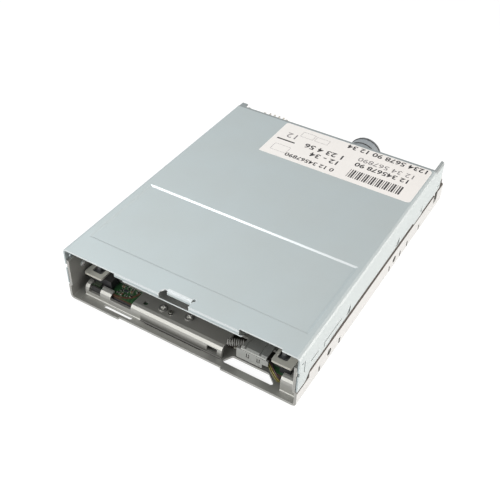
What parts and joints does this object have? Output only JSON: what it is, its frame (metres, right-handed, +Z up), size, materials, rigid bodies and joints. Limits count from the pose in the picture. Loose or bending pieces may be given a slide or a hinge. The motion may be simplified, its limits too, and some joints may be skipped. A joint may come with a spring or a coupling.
{
  "type": "floppy disk drive",
  "caption": "Slim 3.5 inch floppy disk drive without bezel: pressed steel frame and folded cover round a sliding eject plate, drop-down disk holder, spindle motor and screw-driven head carriage",
  "frame": {"origin": "centre of the drive's footprint, on the surface that it stands on", "axes": "+Z up, the front that takes the disk towards -Y, the connectors towards +Y"},
  "size_m": [0.1016, 0.14, 0.0254],
  "materials": {
    "frame_steel": "bright zinc-coated sheet",
    "cover_steel": "satin zinc-coated sheet",
    "dark_steel": "dull plated sheet",
    "bright_steel": "bright turned steel",
    "motor_can": "plated can",
    "brass": "turned",
    "copper": "enamelled wire on a steel core",
    "magnet": "sintered",
    "ceramic": "polished",
    "board": "green laminate",
    "black_plastic": "moulded",
    "grey_plastic": "moulded",
    "ivory_plastic": "moulded, natural",
    "lamp": "clear tinted"
  },
  "bodies": {
    "body_frame": {"chassis": "frame_steel", "top_cover": "cover_steel", "motor_board": "board", "spindle_bearing": "brass", "stator": "copper", "motor_driver_chip": "black_plastic", "slide_guide_left_1": "bright_steel", "slide_guide_left_2": "bright_steel", "slide_guide_right_1": "bright_steel", "slide_guide_right_2": "bright_steel", "stepper_motor": "motor_can", "stepper_bracket": "frame_steel", "lead_screw_bearing": "grey_plastic", "guide_rod_left": "bright_steel", "guide_rod_right": "bright_steel", "rod_clip_1": "frame_steel", "rod_clip_2": "frame_steel", "rod_clip_3": "frame_steel", "rod_clip_4": "frame_steel", "track_zero_sensor": "black_plastic", "write_protect_switch": "black_plastic", "write_protect_cap": "ivory_plastic", "density_switch": "black_plastic", "density_cap": "ivory_plastic", "disk_in_switch": "black_plastic", "activity_lamp": "lamp", "main_board": "board", "main_chip": "black_plastic", "stepper_driver_chip": "black_plastic", "interface_header": "black_plastic", "power_header": "ivory_plastic", "motor_screw_1": "bright_steel", "motor_screw_2": "bright_steel", "motor_screw_3": "bright_steel", "motor_screw_4": "bright_steel", "locating_pin": "bright_steel", "board_screw_1": "bright_steel", "board_screw_2": "bright_steel", "board_screw_3": "bright_steel", "bracket_screw_1": "bright_steel", "bracket_screw_2": "bright_steel"},
    "body_slide": {"slide_plate": "dark_steel", "eject_spring": "bright_steel"},
    "body_holder": {"disk_holder": "dark_steel"},
    "body_lever": {"shutter_lever": "grey_plastic"},
    "body_spindle": {"rotor_cup": "dark_steel", "ring_magnet": "magnet", "spindle_shaft": "bright_steel", "hub_table": "dark_steel", "drive_pin": "bright_steel"},
    "body_screw": {"lead_screw": "bright_steel"},
    "body_carriage": {"head_carriage": "grey_plastic", "lower_head": "ceramic", "arm_pivot_pin": "bright_steel", "follower_pin": "brass"},
    "body_arm": {"upper_arm": "dark_steel", "upper_head": "ceramic"},
    "body_write_protect": {"write_protect_plunger": "grey_plastic"},
    "body_density": {"density_plunger": "grey_plastic"},
    "body_disk_in": {"disk_in_plunger": "ivory_plastic"}
  },
  "joints": [
    {"name": "eject_slide", "type": "slide", "parent": "body_frame", "child": "body_slide", "axis": [0, -1, 0], "range_m": [0, 0.0048]},
    {"name": "holder_drop", "type": "slide", "parent": "body_frame", "child": "body_holder", "axis": [0, 0, -1], "range_m": [0, 0.0024]},
    {"name": "lever_swing", "type": "hinge", "parent": "body_holder", "child": "body_lever", "pos_m": [-0.036, 0.028, 0.0183], "axis": [0, 0, 1], "range_deg": [0, 32]},
    {"name": "spindle_spin", "type": "hinge", "parent": "body_frame", "child": "body_spindle", "pos_m": [0, -0.024, 0.006], "axis": [0, 0, 1], "continuous": true},
    {"name": "screw_spin", "type": "hinge", "parent": "body_frame", "child": "body_screw", "pos_m": [0.0132, 0.037, 0.0158], "axis": [0, -1, 0], "range_deg": [0, 1421]},
    {"name": "carriage_step", "type": "slide", "parent": "body_frame", "child": "body_carriage", "axis": [0, -1, 0], "range_m": [0, 0.0148]},
    {"name": "arm_lift", "type": "hinge", "parent": "body_carriage", "child": "body_arm", "pos_m": [-0.002, 0.0515, 0.0155], "axis": [1, 0, 0], "range_deg": [0, 7.66]},
    {"name": "write_protect_press", "type": "slide", "parent": "body_frame", "child": "body_write_protect", "axis": [0, 0, -1], "range_m": [0, 0.0013], "stiffness_N_per_m": 120, "springref_m": -0.0005},
    {"name": "density_press", "type": "slide", "parent": "body_frame", "child": "body_density", "axis": [0, 0, -1], "range_m": [0, 0.0013], "stiffness_N_per_m": 120, "springref_m": -0.0005},
    {"name": "disk_in_press", "type": "slide", "parent": "body_frame", "child": "body_disk_in", "axis": [0, 0, -1], "range_m": [0, 0.0013], "stiffness_N_per_m": 120, "springref_m": -0.0005}
  ],
  "couplings": [
    {"joint": "holder_drop", "follows": "eject_slide", "ratio": 0.5},
    {"joint": "lever_swing", "follows": "eject_slide", "rad_per_m": 116.35},
    {"joint": "arm_lift", "follows": "eject_slide", "rad_per_m": 27.85},
    {"joint": "screw_spin", "follows": "carriage_step", "rad_per_m": 1675.5}
  ]
}
